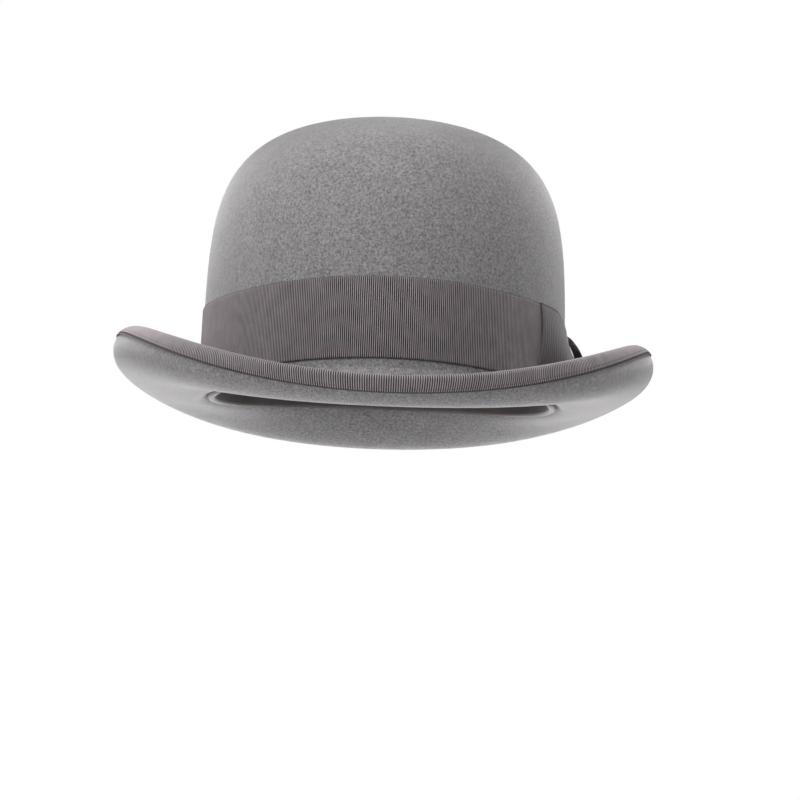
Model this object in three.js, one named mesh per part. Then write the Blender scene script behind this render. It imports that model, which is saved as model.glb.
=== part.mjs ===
// A bowler hat in stiffened wool felt. One blocked felt body makes the domed crown and the brim,
// which dips at the front and back and rolls up and over at the sides. A ribbon binding covers the
// brim's edge, a ribbon band with a flat bow goes round the crown, and a leather sweatband and a
// satin lining are sewn inside.
//
// Millimetres, +Z up. The front of the hat faces -Y, and the bow is on the +X side.
// An angle round the head, phi, is 0 at +X, 90 degrees at the back and 270 degrees at the front.
import * as THREE from "three";
import { mergeVertices } from "three/addons/utils/BufferGeometryUtils.js";

// ---- Driving dimensions ------------------------------------------------------------------

const FELT = 2.6; // thickness of the felt
const RIBBON = 0.9; // thickness of the grosgrain ribbon
const GAP = 0.3; // clearance between pieces that touch

// Crown: an oval, slightly wider at the back, that rises almost straight to a round shoulder.
const CROWN_HALF_WIDTH = 87.5; // outside of the felt at the foot of the crown
const CROWN_HALF_LENGTH = 103;
const CROWN_FOOT = 18.76; // mean height of the line where the crown meets the brim
const CROWN_TOP = 148.1;
const EGG = 0.041; // how much wider the back half of the oval is
const SHOULDER_HEIGHT_POWER = 5.55; // the larger, the higher and tighter the shoulder sits
const SHOULDER_ROUND_POWER = 2.68; // the larger, the flatter the top
const TAPER = 0.016;
const TOP_PULL_IN = 0.027;
const FOOT_LIFT = 3.23; // the foot is this much higher at the front and back, and lower at the sides

// Brim: its cross-section is a curve whose slope changes with the distance from the crown.
const BRIM_WIDTH_SIDE = 65.1; // along the felt, from the foot of the crown to the edge
const BRIM_WIDTH_FRONT = 55.6;
const BRIM_SLOPE_SIDE = 0.221; // slope just outside the crown, in radians
const BRIM_SLOPE_FRONT = -0.848;
const CURL_SLOPE_SIDE = 3.38; // slope at the edge: over half a turn at the sides
const CURL_SLOPE_FRONT = 1.285;
const CURL_POWER_SIDE = 3.88; // the larger, the closer to the edge the brim curls
const CURL_POWER_FRONT = 2.06;
const SIDE_TO_FRONT_POWER = 2.16; // how the side section turns into the front one
const BREAK_LENGTH = 2.7; // length over which the crown's wall turns into the brim

// Trim
const BINDING_WIDTH = 6.9; // visible width of the folded ribbon on each face of the brim
const STITCH_INSET = 1.9; // from the binding's edge to its line of stitches
const THREAD = 0.5;
const BAND_WIDTH = 37.1;
const BAND_RISE = 3; // from the foot of the crown to the band's lower edge

// Bow on the +X side
const BOW_HALF_ANGLE = 0.62; // from the knot to the fold at the end of a loop, in radians
const BOW_WIDTH = 37.9;
const BOW_PINCH = 18; // height of the ribbon where the knot gathers it
const BAND_PINCH = 13.5; // and of the band, which is drawn in behind it
const BOW_SPREAD = 0.45; // from the knot to where both have their full width, in radians
const BOW_END_DEPTH = 3.8; // how far the loops stand off the band at their ends
const BOW_TOP_DEPTH = 0.9; // and beside the knot, at the upper edge
const BOW_FOOT_DEPTH = 7.0; // and beside the knot, at the lower edge
const KNOT_HALF_ANGLE = 0.075;
const BOW_BULGE = 1.2; // how much further the middle of a loop stands out
const KNOT_SLACK = 2.0; // room between the loops and the knot's arch
const KNOT_CREST = 2.2; // how far the knot's rounded corners rise over its ends
const KNOT_CORNER = 2;

// Sweatband, with its reed, and the tape that it is sewn in by
const LEATHER = 1.0;
const SWEATBAND_HEIGHT = 42;
const SWEATBAND_HEM = 6; // height of the leather turned up behind the reed
const HEM_LEATHER = 0.8; // the turned-up hem is skived thinner
const REED_RADIUS = 0.8;
const REED_DROP = 1.2; // from the foot of the crown down to the reed's centre
const TAPE = 0.4;
const TAPE_HEIGHT = 13;
const SEAM_BOW_RISE = 13; // middle of the small bow over the leather's seam
const SEAM_BOW_HALF_HEIGHT = 4; // at its ends, and a third of that in the middle
const SEAM_BOW_HALF_ANGLE = 0.13;
const SEAM_BOW_FOLDS = 1.4; // how much the folds thicken its middle
const LABEL_RISE = 27;
const LABEL_HALF_HEIGHT = 5;
const LABEL_HALF_ANGLE = 0.075;
const LABEL_ANGLE = 0.32; // from the seam at the back
const LABEL = 0.4;

// Lining
const SATIN = 0.5;
const LINING_FOOT = 16; // the lining's lower edge, tucked behind the sweatband
const LINING_TOP = 0.885; // height of the seam with the tip, as a part of the crown's height
const LINING_TOP_INSET = 8; // distance from the felt to the lining at that seam
const PIPING_RADIUS = 1.1;
const TIP_SAG = 2.5; // how far the middle of the tip rises above its seam
const SHIELD = 0.4;
const SHIELD_SIZE = 0.62; // the clear shield, as a part of the tip

const SEGMENTS = 48; // round the head
const CROWN_ROWS = 11;
const BRIM_ROWS = 7;
const EDGE_ROWS = 4;

// ---- The blocked shape of the felt ---------------------------------------------------------

const lerp = THREE.MathUtils.lerp;

// Height of the line where the crown meets the brim.
function footHeight(phi) {
  return CROWN_FOOT - FOOT_LIFT * Math.cos(2 * phi);
}

// A value that is `side` at the two sides of the hat and `front` at the front and back.
function roundTheBrim(phi, side, front) {
  return lerp(side, front, Math.abs(Math.sin(phi)) ** SIDE_TO_FRONT_POWER);
}

// A point of the crown. `part` is the height as a part of the crown's, 0 at its foot and 1 at its
// top, and `depth` is the distance in from the outside of the felt.
function crownPoint(phi, part, depth) {
  const round = Math.max(0, 1 - Math.abs(part) ** SHOULDER_HEIGHT_POWER);
  const size = round ** (1 / SHOULDER_ROUND_POWER) * (1 - TAPER * part - TOP_PULL_IN * part * part);
  return new THREE.Vector3(
    (CROWN_HALF_WIDTH - depth) * size * Math.cos(phi) * (1 + EGG * Math.sin(phi)),
    (CROWN_HALF_LENGTH - depth) * size * Math.sin(phi),
    lerp(CROWN_FOOT, CROWN_TOP - depth, part),
  );
}

// A point on the crown's wall, `rise` above the foot of the crown.
function wallPoint(phi, rise, depth) {
  const height = footHeight(phi) + rise;
  const part = (height - CROWN_FOOT) / (CROWN_TOP - depth - CROWN_FOOT);
  return crownPoint(phi, part, depth);
}

function brimWidth(phi) {
  return roundTheBrim(phi, BRIM_WIDTH_SIDE, BRIM_WIDTH_FRONT);
}

// Slope of the brim's section at a distance from the foot of the crown. The wall comes down
// upright, turns out within a few millimetres, and the brim then curls up towards its edge.
function brimSlope(phi, distance) {
  const start = roundTheBrim(phi, BRIM_SLOPE_SIDE, BRIM_SLOPE_FRONT);
  const end = roundTheBrim(phi, CURL_SLOPE_SIDE, CURL_SLOPE_FRONT);
  const power = roundTheBrim(phi, CURL_POWER_SIDE, CURL_POWER_FRONT);
  const across = Math.min(1, distance / brimWidth(phi));
  const wall = (-Math.PI / 2 - start) * Math.exp(-distance / BREAK_LENGTH);
  return start + (end - start) * across ** power + wall;
}

// A point of the brim, found by walking out along its section from the foot of the crown.
function brimPoint(phi, distance, depth) {
  const steps = 4 + Math.ceil(distance * 2);
  let out = 0;
  let up = 0;
  for (let i = 0; i < steps; i++) {
    const slope = brimSlope(phi, (distance * (i + 0.5)) / steps);
    out += (Math.cos(slope) * distance) / steps;
    up += (Math.sin(slope) * distance) / steps;
  }
  const below = depth - FELT / 2;
  const slope = brimSlope(phi, distance);
  out += below * Math.sin(slope);
  up -= below * Math.cos(slope);
  const outward = new THREE.Vector2(
    Math.cos(phi) / CROWN_HALF_WIDTH,
    Math.sin(phi) / CROWN_HALF_LENGTH,
  ).normalize();
  return new THREE.Vector3(
    (CROWN_HALF_WIDTH - FELT / 2) * Math.cos(phi) * (1 + EGG * Math.sin(phi)) + outward.x * out,
    (CROWN_HALF_LENGTH - FELT / 2) * Math.sin(phi) + outward.y * out,
    footHeight(phi) + up,
  );
}

// ---- Making a piece ------------------------------------------------------------------------

// Six times the volume inside a closed geometry, negative when its faces point inwards.
function signedVolume(geometry) {
  const position = geometry.getAttribute("position");
  const index = geometry.getIndex();
  const corner = (i) => new THREE.Vector3().fromBufferAttribute(position, index.getX(i));
  let sum = 0;
  for (let i = 0; i < index.count; i += 3) {
    sum += corner(i).dot(corner(i + 1).cross(corner(i + 2)));
  }
  return sum;
}

// Moves each vertex of a closed geometry to its place on the hat, keeping its faces outwards.
function blocked(geometry, place) {
  const position = geometry.getAttribute("position");
  for (let i = 0; i < position.count; i++) {
    const to = place(new THREE.Vector3().fromBufferAttribute(position, i), i);
    position.setXYZ(i, to.x, to.y, to.z);
  }
  geometry.deleteAttribute("normal");
  geometry.deleteAttribute("uv");
  const piece = mergeVertices(geometry);
  if (signedVolume(piece) < 0) piece.getIndex().array.reverse();
  piece.computeVertexNormals();
  return piece;
}

// A piece that goes all the way round. Its section, a list of [row, depth] points, is spun by
// LatheGeometry, one meridian after another, and `place` then puts each point on the hat.
function ring(section, place) {
  const points = section.map(([row, depth]) => new THREE.Vector2(row, depth));
  const geometry = new THREE.LatheGeometry(points, SEGMENTS);
  return blocked(geometry, (point, i) => {
    const meridian = Math.floor(i / points.length) % SEGMENTS;
    const [row, depth] = section[i % points.length];
    return place((2 * Math.PI * meridian) / SEGMENTS, row, depth);
  });
}

// Closes a section by coming back to its first point.
function closed(section) {
  return [...section, section[0]];
}

// A flat strip's section, `low` to `high` across and `outer` to `inner` through.
function strip(low, high, outer, inner) {
  return closed([
    [low, outer],
    [high, outer],
    [high, inner],
    [low, inner],
  ]);
}

// Points of a part turn round a centre in a section, from one angle to another.
function arc(row, depth, radius, from, to, steps) {
  const points = [];
  for (let i = 0; i <= steps; i++) {
    const angle = lerp(from, to, i / steps);
    points.push([row + radius * Math.cos(angle), depth + radius * Math.sin(angle)]);
  }
  return points;
}

function rows(count, from, to) {
  return Array.from({ length: count + 1 }, (_, i) => lerp(from, to, i / count));
}

const hat = new THREE.Group();

function add(name, geometry, color, roughness, extra = {}) {
  const material = new THREE.MeshStandardMaterial({ color, roughness, metalness: 0, ...extra });
  const mesh = new THREE.Mesh(geometry, material);
  mesh.name = name;
  hat.add(mesh);
}

const FELT_GREY = 0x848283;
const RIBBON_GREY = 0x6e6769;
const THREAD_GREY = 0x5c5658;
const LEATHER_GREY = 0x4a4646;
const SATIN_GREY = 0x9a979b;

// ---- Felt body -----------------------------------------------------------------------------

// Rows of the felt body: 0 at the top of the crown, 1 at its foot, and 2 to 4 across the brim,
// as the bend at its root, the open brim, and the strip under the binding.
const BEND = 9;

function feltPoint(phi, row, depth) {
  if (row < 1) {
    const rise = Math.sin((Math.PI / 2) * (1 - row)) ** (2 / SHOULDER_HEIGHT_POWER);
    const foot = (footHeight(phi) - CROWN_FOOT) / (CROWN_TOP - CROWN_FOOT);
    return crownPoint(phi, lerp(foot, 1, rise), depth);
  }
  const width = brimWidth(phi);
  if (row <= 2) return brimPoint(phi, BEND * (row - 1) ** 1.5, depth);
  if (row <= 3) return brimPoint(phi, lerp(BEND, width - BINDING_WIDTH, row - 2), depth);
  return brimPoint(phi, width - BINDING_WIDTH * (4 - row), depth);
}

function feltBody() {
  const half = FELT / 2;
  const edge = 4 - half / BINDING_WIDTH; // where the edge starts to round
  const down = [...rows(CROWN_ROWS, 0, 1), ...rows(4, 1.25, 2), ...rows(BRIM_ROWS, 2, 3).slice(1)];
  const out = [...down, ...rows(EDGE_ROWS, 3, edge).slice(1)];
  const rounding = arc(0, 0, 1, -Math.PI / 2, Math.PI / 2, 4).slice(1, -1);
  const section = [
    ...out.map((row) => [row, 0]),
    ...rounding.map(([x, y]) => [edge + (x * half) / BINDING_WIDTH, half + y * half]),
    ...out.reverse().map((row) => [row, FELT]),
  ];
  return ring(section, feltPoint);
}

// ---- Binding and its stitches --------------------------------------------------------------

// Places a point by its distance in from the edge of the felt.
function edgePoint(phi, inset, depth) {
  return brimPoint(phi, brimWidth(phi) - inset, depth);
}

function binding() {
  const half = FELT / 2;
  const legs = rows(EDGE_ROWS, BINDING_WIDTH, half);
  const near = half + GAP;
  const far = near + RIBBON;
  const fold = (radius) => arc(half, half, radius, -Math.PI / 2, (-3 * Math.PI) / 2, 4);
  return ring(
    closed([
      ...legs.slice(0, -1).map((inset) => [inset, half - far]),
      ...fold(far),
      ...legs.slice(0, -1).reverse().map((inset) => [inset, half + far]),
      ...legs.slice(0, -1).map((inset) => [inset, half + near]),
      ...fold(near).reverse(),
      ...legs.slice(0, -1).reverse().map((inset) => [inset, half - near]),
    ]),
    edgePoint,
  );
}

// One line of stitches, as a thread that goes round on one face of the binding.
function bindingStitches(depth) {
  const inset = BINDING_WIDTH - STITCH_INSET;
  return ring(strip(inset, inset - THREAD, depth, depth + THREAD), edgePoint);
}

// ---- Hat band and bow ----------------------------------------------------------------------

const BAND_MIDDLE = BAND_RISE + BAND_WIDTH / 2;
const BAND_FACE = GAP + RIBBON; // outside of the band, measured out from the felt

const smooth = (x) => THREE.MathUtils.smoothstep(x, 0, 1);

// Half the height of a ribbon that the knot gathers to `pinch` and that spreads to its full width.
function drawnIn(phi, pinch, width) {
  return lerp(pinch, width, smooth(Math.abs(phi) / BOW_SPREAD)) / 2;
}

// The band, from its lower edge at row -1 to its upper edge at row 1.
function hatBand() {
  return ring(strip(-1, 1, -BAND_FACE, -GAP), (phi, row, depth) => {
    const fromKnot = phi > Math.PI ? phi - 2 * Math.PI : phi;
    return wallPoint(phi, BAND_MIDDLE + row * drawnIn(fromKnot, BAND_PINCH, BAND_WIDTH), depth);
  });
}

// How far the bow stands off the band at a place along it, -1 and 1 being the ends of its loops.
// Beside the knot its lower edge stands out most.
function bowDepth(along, across) {
  const pinched = lerp(BOW_FOOT_DEPTH, BOW_TOP_DEPTH, (across + 1) / 2);
  const bulge = BOW_BULGE * (1 - across * across) * Math.sin(Math.PI * Math.abs(along));
  return lerp(pinched, BOW_END_DEPTH, smooth(Math.abs(along) * 1.2)) + bulge;
}

// Both loops of the bow: one ribbon, folded at its two ends and gathered in the middle.
function bowLoops() {
  const block = new THREE.BoxGeometry(2, 2, 1, 16, 4, 1);
  return blocked(block, ({ x: along, y: across, z }) => {
    const phi = BOW_HALF_ANGLE * along;
    const rise = BAND_MIDDLE + across * drawnIn(phi, BOW_PINCH, BOW_WIDTH);
    const off = BAND_FACE + GAP + (z > 0 ? bowDepth(along, across) : 0);
    return wallPoint(phi, rise, -off);
  });
}

// The knot: a short ribbon that arches over the gathered middle, its ends sewn down on the band.
function bowKnot() {
  const upper = drawnIn(KNOT_HALF_ANGLE, BOW_PINCH, BOW_WIDTH) + 2 * GAP;
  const lower = -upper;
  const crest = BOW_TOP_DEPTH + KNOT_SLACK;
  const foot = BOW_FOOT_DEPTH + KNOT_SLACK;
  const outline = new THREE.Shape();
  outline.moveTo(upper, 0);
  outline.lineTo(upper, crest / 2);
  outline.quadraticCurveTo(upper, crest, upper - KNOT_CORNER, crest + KNOT_CREST);
  outline.lineTo(lower + KNOT_CORNER, foot);
  outline.quadraticCurveTo(lower - RIBBON, foot, lower, foot / 2);
  outline.lineTo(lower, 0);
  outline.lineTo(lower - RIBBON, 0);
  outline.lineTo(lower - RIBBON, foot / 2);
  outline.quadraticCurveTo(lower - 2 * RIBBON, foot + RIBBON, lower + KNOT_CORNER, foot + RIBBON);
  outline.lineTo(upper - KNOT_CORNER, crest + KNOT_CREST + RIBBON);
  outline.quadraticCurveTo(upper + RIBBON, crest + KNOT_CREST, upper + RIBBON, crest / 2);
  outline.lineTo(upper + RIBBON, 0);
  outline.closePath();
  const strap = new THREE.ExtrudeGeometry(outline, {
    depth: 2 * KNOT_HALF_ANGLE,
    steps: 2,
    curveSegments: 3,
    bevelEnabled: false,
  });
  return blocked(strap, ({ x: across, y: off, z }) =>
    wallPoint(z - KNOT_HALF_ANGLE, BAND_MIDDLE + across, -(BAND_FACE + GAP + off)),
  );
}

// ---- Sweatband, reed and tape --------------------------------------------------------------

const TAPE_FACE = FELT + GAP + TAPE; // inside of the tape, measured in from the outside of the felt
const HEM_FACE = TAPE_FACE + GAP + HEM_LEATHER;
const REED_DEPTH = HEM_FACE + GAP + REED_RADIUS;
const LEAF_TOP = FELT + 3 * GAP + SATIN; // back of the leather where it lies over the lining

// The leather leans out from the reed to the lining. This is the depth of its inner face.
const LEAF_FOOT = 4;
const LEAF_BEND = 14;

function leafFace(rise) {
  const bulge = REED_DEPTH + REED_RADIUS + LEATHER;
  const bend = LEAF_TOP + LEATHER + GAP;
  if (rise < LEAF_BEND) return lerp(bulge, bend, (rise - LEAF_FOOT) / (LEAF_BEND - LEAF_FOOT));
  return lerp(bend, LEAF_TOP + LEATHER, (rise - LEAF_BEND) / (SWEATBAND_HEIGHT - LEAF_BEND));
}

function reedTape() {
  return ring(strip(1, TAPE_HEIGHT, FELT + GAP, TAPE_FACE), wallPoint);
}

// The leather comes down inside the hat, turns under the reed and goes up behind it.
function sweatband() {
  const near = REED_RADIUS + GAP;
  const far = near + LEATHER;
  const turn = (radius) => arc(-REED_DROP, REED_DEPTH, radius, Math.PI / 2, (3 * Math.PI) / 2, 4);
  const hem = SWEATBAND_HEM - REED_DROP;
  return ring(
    closed([
      [SWEATBAND_HEIGHT, leafFace(SWEATBAND_HEIGHT) - LEATHER],
      [SWEATBAND_HEIGHT, leafFace(SWEATBAND_HEIGHT)],
      [LEAF_BEND, leafFace(LEAF_BEND)],
      [LEAF_FOOT, leafFace(LEAF_FOOT)],
      ...turn(far).slice(0, -1),
      [-REED_DROP, HEM_FACE - HEM_LEATHER],
      [hem, HEM_FACE - HEM_LEATHER],
      [hem, HEM_FACE],
      ...turn(near).reverse(),
      [LEAF_FOOT, leafFace(LEAF_FOOT) - LEATHER],
      [LEAF_BEND, leafFace(LEAF_BEND) - LEATHER],
    ]),
    wallPoint,
  );
}

function sweatbandReed() {
  const round = arc(-REED_DROP, REED_DEPTH, REED_RADIUS, 0, 2 * Math.PI, 6).slice(0, -1);
  return ring(closed(round), wallPoint);
}

function sweatbandStitches() {
  const rise = LEAF_FOOT + 1;
  const face = leafFace(rise) + GAP;
  return ring(strip(rise, rise + THREAD, face, face + THREAD), wallPoint);
}

// The small ribbon bow that covers the foot of the sweatband's seam at the back of the hat.
function sweatbandBow() {
  const block = new THREE.BoxGeometry(2, 2, 1, 8, 1, 1);
  return blocked(block, ({ x: along, y: across, z }) => {
    const height = SEAM_BOW_HALF_HEIGHT * lerp(1 / 3, 1, smooth(Math.abs(along)));
    const rise = SEAM_BOW_RISE + across * height;
    const through = z > 0 ? RIBBON + SEAM_BOW_FOLDS * (1 - Math.abs(along)) : 0;
    const phi = Math.PI / 2 + SEAM_BOW_HALF_ANGLE * along;
    return wallPoint(phi, rise, leafFace(rise) + GAP + through);
  });
}

function sizeLabel() {
  const block = new THREE.BoxGeometry(2, 2, 1, 2, 1, 1);
  return blocked(block, ({ x: along, y: across, z }) => {
    const rise = LABEL_RISE + across * LABEL_HALF_HEIGHT;
    const through = z > 0 ? LABEL : 0;
    const phi = Math.PI / 2 + LABEL_ANGLE + LABEL_HALF_ANGLE * along;
    return wallPoint(phi, rise, leafFace(rise) + GAP + through);
  });
}

// ---- Lining --------------------------------------------------------------------------------

// The lining lies on the felt behind the sweatband, and hangs free of it above.
const LINING_FREE = 1 / 3;

function liningPoint(phi, row, depth) {
  const foot = (footHeight(phi) + LINING_FOOT - CROWN_FOOT) / (CROWN_TOP - CROWN_FOOT);
  const free = smooth((row - LINING_FREE) / (1 - LINING_FREE));
  const inset = lerp(FELT + 2 * GAP, LINING_TOP_INSET, free);
  return crownPoint(phi, lerp(foot, LINING_TOP, row), inset + depth);
}

function liningSide() {
  const up = rows(6, 0, 1);
  return ring(
    closed([...up.map((row) => [row, 0]), ...up.reverse().map((row) => [row, SATIN])]),
    liningPoint,
  );
}

// A point on the tip of the lining: `part` is 0 at its middle and 1 at its seam.
function tipPoint(phi, part, below) {
  const seam = crownPoint(phi, LINING_TOP, LINING_TOP_INSET + SATIN + GAP);
  const rise = TIP_SAG * (1 - part * part);
  return new THREE.Vector3(seam.x * part, seam.y * part, seam.z + rise - below);
}

function disc(size, top, bottom) {
  const across = rows(3, 0, size);
  return ring(
    [...across.map((part) => [part, top]), ...across.reverse().map((part) => [part, bottom])],
    tipPoint,
  );
}

function liningPiping() {
  const below = SATIN + GAP + PIPING_RADIUS;
  const seam = crownPoint(0, LINING_TOP, LINING_TOP_INSET + SATIN + GAP).x;
  const inward = 1 - (PIPING_RADIUS + GAP) / seam;
  const round = arc(0, 0, PIPING_RADIUS, 0, 2 * Math.PI, 6).slice(0, -1);
  return ring(closed(round.map(([x, y]) => [inward + x / seam, below + y])), tipPoint);
}

// ---- The hat -------------------------------------------------------------------------------

add("felt_body", feltBody(), FELT_GREY, 0.95);
add("brim_binding", binding(), RIBBON_GREY, 0.8);
add("binding_stitch_top", bindingStitches(-BAND_FACE - GAP - THREAD), THREAD_GREY, 0.8);
add("binding_stitch_under", bindingStitches(FELT + BAND_FACE + GAP), THREAD_GREY, 0.8);
add("hat_band", hatBand(), RIBBON_GREY, 0.8);
add("bow_loops", bowLoops(), RIBBON_GREY, 0.8);
add("bow_knot", bowKnot(), RIBBON_GREY, 0.8);
add("sweatband", sweatband(), LEATHER_GREY, 0.6);
add("sweatband_reed", sweatbandReed(), 0xd8d4cc, 0.5);
add("sweatband_stitch", sweatbandStitches(), THREAD_GREY, 0.8);
add("reed_tape", reedTape(), 0x5a5556, 0.9);
add("sweatband_bow", sweatbandBow(), RIBBON_GREY, 0.7);
add("size_label", sizeLabel(), 0xe6e3dc, 0.8);
add("lining_side", liningSide(), SATIN_GREY, 0.35);
add("lining_tip", disc(1, 0, SATIN), SATIN_GREY, 0.35);
add("lining_piping", liningPiping(), RIBBON_GREY, 0.5);
add("tip_shield", disc(SHIELD_SIZE, SATIN + GAP, SATIN + GAP + SHIELD), 0xf2f4f5, 0.1, {
  transparent: true,
  opacity: 0.3,
});

// The origin is under the middle of the hat, on the surface that the brim rests on.
const box = new THREE.Box3().setFromObject(hat);
const middle = box.getCenter(new THREE.Vector3());
hat.position.set(-middle.x, -middle.y, -box.min.z);

export default hat;
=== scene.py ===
# A bowler hat in mid grey wool felt, with grosgrain trimmings and a sewn-in leather and lining.
# The felt, the ribbons and the linings are each laid on the shape of the hatter's block, which is
# worked out here from the same dimensions as the CAD part. Metres, +Z up, the front faces -Y and
# the bow is on +X. An angle round the head, phi, is 0 at +X and a quarter turn at the back.
import math
import random

import bpy
import numpy as np
from mathutils import Matrix, Vector


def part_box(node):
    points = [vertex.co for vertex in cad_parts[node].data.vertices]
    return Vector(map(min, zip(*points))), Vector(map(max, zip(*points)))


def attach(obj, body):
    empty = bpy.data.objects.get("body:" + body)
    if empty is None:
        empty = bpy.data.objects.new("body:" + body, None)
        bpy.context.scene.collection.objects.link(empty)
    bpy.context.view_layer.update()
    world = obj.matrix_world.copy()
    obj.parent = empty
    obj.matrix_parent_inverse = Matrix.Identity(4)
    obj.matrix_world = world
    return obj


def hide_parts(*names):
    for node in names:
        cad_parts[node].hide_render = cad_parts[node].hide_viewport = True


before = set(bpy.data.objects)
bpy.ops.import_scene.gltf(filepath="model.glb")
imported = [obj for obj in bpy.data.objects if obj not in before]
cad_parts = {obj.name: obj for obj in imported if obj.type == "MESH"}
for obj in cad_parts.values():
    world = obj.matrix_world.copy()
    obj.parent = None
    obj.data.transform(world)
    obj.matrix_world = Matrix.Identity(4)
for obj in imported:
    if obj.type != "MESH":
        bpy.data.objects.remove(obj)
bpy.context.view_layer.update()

MM = 0.001
TURN = 2 * math.pi

# ---- Dimensions ------------------------------------------------------------------------------

FELT = 2.6 * MM
CROWN_HALF_WIDTH = 87.5 * MM
CROWN_HALF_LENGTH = 103 * MM
CROWN_FOOT = 18.76 * MM
CROWN_TOP = 148.1 * MM
EGG = 0.041
SHOULDER_HEIGHT_POWER = 5.55
SHOULDER_ROUND_POWER = 2.68
TAPER = 0.016
TOP_PULL_IN = 0.027
FOOT_LIFT = 3.23 * MM

BRIM_WIDTH_SIDE = 65.1 * MM
BRIM_WIDTH_FRONT = 55.6 * MM
BRIM_SLOPE_SIDE = 0.221
BRIM_SLOPE_FRONT = -0.848
CURL_SLOPE_SIDE = 3.38
CURL_SLOPE_FRONT = 1.285
CURL_POWER_SIDE = 3.88
CURL_POWER_FRONT = 2.06
SIDE_TO_FRONT_POWER = 2.16
BREAK_LENGTH = 2.7 * MM

RIBBON = 0.8 * MM
REST = 0.06 * MM  # how far a ribbon or cloth stays off what it lies on
RIB_DEPTH = 0.48 * MM  # from the crest of a rib to the bottom of its groove
PICOT = 0.42 * MM  # how far the ribs' ends stand out and in along a ribbon's woven edge
BINDING_WIDTH = 6.9 * MM
BINDING_RIB = 1.05 * MM
STITCH_INSET = 1.9 * MM
STITCH_LENGTH = 1.75 * MM
STITCH_PITCH = 2.1 * MM
THREAD_RADIUS = 0.28 * MM
BAND_WIDTH = 37.1 * MM
BAND_RISE = 3 * MM
BAND_MIDDLE = BAND_RISE + BAND_WIDTH / 2
BAND_RIB = 0.95 * MM
BAND_FACE = REST + RIBBON  # outside of the band, measured out from the felt

BOW_HALF_ANGLE = 0.62  # the bow's angles are measured from the knot
BOW_END_TOP = 0.60  # the folds lean, so that they end further out at their foot
BOW_END_FOOT = 0.665
BOW_SPREAD = 0.45  # where the bow and the band under it have spread to their full width
BOW_WIDTH = 37.9 * MM
BOW_PINCH = 18 * MM  # height of the bow's ribbon where the knot gathers it
BAND_PINCH = 13.5 * MM  # and of the band, which is drawn in behind it
BOW_RIBBON = 0.4 * MM  # its thickness
LEAF_GAP = 0.45 * MM  # from the middle of one leaf of a loop to the middle of the other
# Beside the knot: parts of the ribbon's height, from its upper edge, and distances off the felt.
BOW_STANDS_AT = (0, 0.21, 0.47, 0.7, 0.85, 1)
BOW_STANDS_OFF = (0.5 * MM, 1.3 * MM, 4.0 * MM, 7.4 * MM, 7.8 * MM, 6.0 * MM)
BOW_RIB_DEPTH = 0.16 * MM
BOW_END_GAP = 2.9 * MM  # how far the inner leaf stands off the band at the fold
BOW_BULGE = 0.6 * MM
BOW_GATHER = 0.25 * MM
KNOT_HALF_ANGLE = 0.075
KNOT_WIDTH = 14 * MM
KNOT_BELLY = 0.35 * MM
KNOT_TILT = 2.8 * MM  # how much further its front edge stands out than its rear edge

LEATHER = 1.0 * MM
SWEATBAND_HEIGHT = 42 * MM
SWEATBAND_HEM = 6 * MM
SWEATBAND_FREE = 20 * MM  # above this height the leather is slack
REED_STITCH_PITCH = 3.4 * MM
REED_RADIUS = 0.8 * MM
REED_DROP = 1.2 * MM
TAPE_HEIGHT = 13 * MM
TAPE_BACK = 2.7 * MM  # this and the next four are measured in from the outside of the felt
TAPE_FACE = 3.3 * MM
HEM_FACE = 4.4 * MM
REED_DEPTH = 5.5 * MM
LEAF_TOP = 4.0 * MM
LEAF_FOOT = 4 * MM  # heights of the leather leaf's foot and of its bend
LEAF_BEND = 14 * MM
SEAM_BOW_RISE = 13 * MM
SEAM_BOW_RIBBON = 0.3 * MM
LABEL_RISE = 27 * MM
LABEL_HALF_HEIGHT = 5 * MM
LABEL_ANGLE = 0.32  # from the seam at the back
LABEL_HALF_ANGLE = 0.075
LABEL = 0.3 * MM

SATIN = 0.5 * MM
LINING_FOOT = 16 * MM
LINING_TOP = 0.885
LINING_TOP_INSET = 8 * MM
LINING_SLACK = 0.3 * MM
TIP_INSET = LINING_TOP_INSET + SATIN + LINING_SLACK
LINING_FREE = 1 / 3
PIPING_RADIUS = 1.1 * MM
TIP_SAG = 2.5 * MM
SHIELD = 0.4 * MM
SHIELD_SIZE = 0.62

# The part stands on its lowest point, so the block's heights are shifted with it.
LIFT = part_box("felt_body")[1].z - CROWN_TOP

BACK = math.pi / 2
SEED = 7

# ---- The shape of the block -------------------------------------------------------------------


def mix(a, b, part):
    return a + (b - a) * part


def smooth(x):
    x = np.clip(x, 0, 1)
    return x * x * (3 - 2 * x)


def points(x, y, z):
    return np.stack(np.broadcast_arrays(x, y, z), axis=-1)


def foot_height(phi):
    """Height of the line where the crown meets the brim."""
    return CROWN_FOOT - FOOT_LIFT * np.cos(2 * phi)


def round_the_brim(phi, side, front):
    """A value that changes from the sides of the hat to its front and back."""
    return mix(side, front, np.abs(np.sin(phi)) ** SIDE_TO_FRONT_POWER)


def crown_point(phi, part, depth):
    """A point of the crown, `part` of the way up, and `depth` in from the outside of the felt."""
    rounding = np.maximum(0, 1 - np.abs(part) ** SHOULDER_HEIGHT_POWER) ** (1 / SHOULDER_ROUND_POWER)
    size = rounding * (1 - TAPER * part - TOP_PULL_IN * part * part)
    return points(
        (CROWN_HALF_WIDTH - depth) * size * np.cos(phi) * (1 + EGG * np.sin(phi)),
        (CROWN_HALF_LENGTH - depth) * size * np.sin(phi),
        mix(CROWN_FOOT, CROWN_TOP - depth, part) + LIFT,
    )


def wall_point(phi, rise, depth):
    """A point on the crown's wall, `rise` above the foot of the crown."""
    part = (foot_height(phi) + rise - CROWN_FOOT) / (CROWN_TOP - depth - CROWN_FOOT)
    return crown_point(phi, part, depth)


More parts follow.
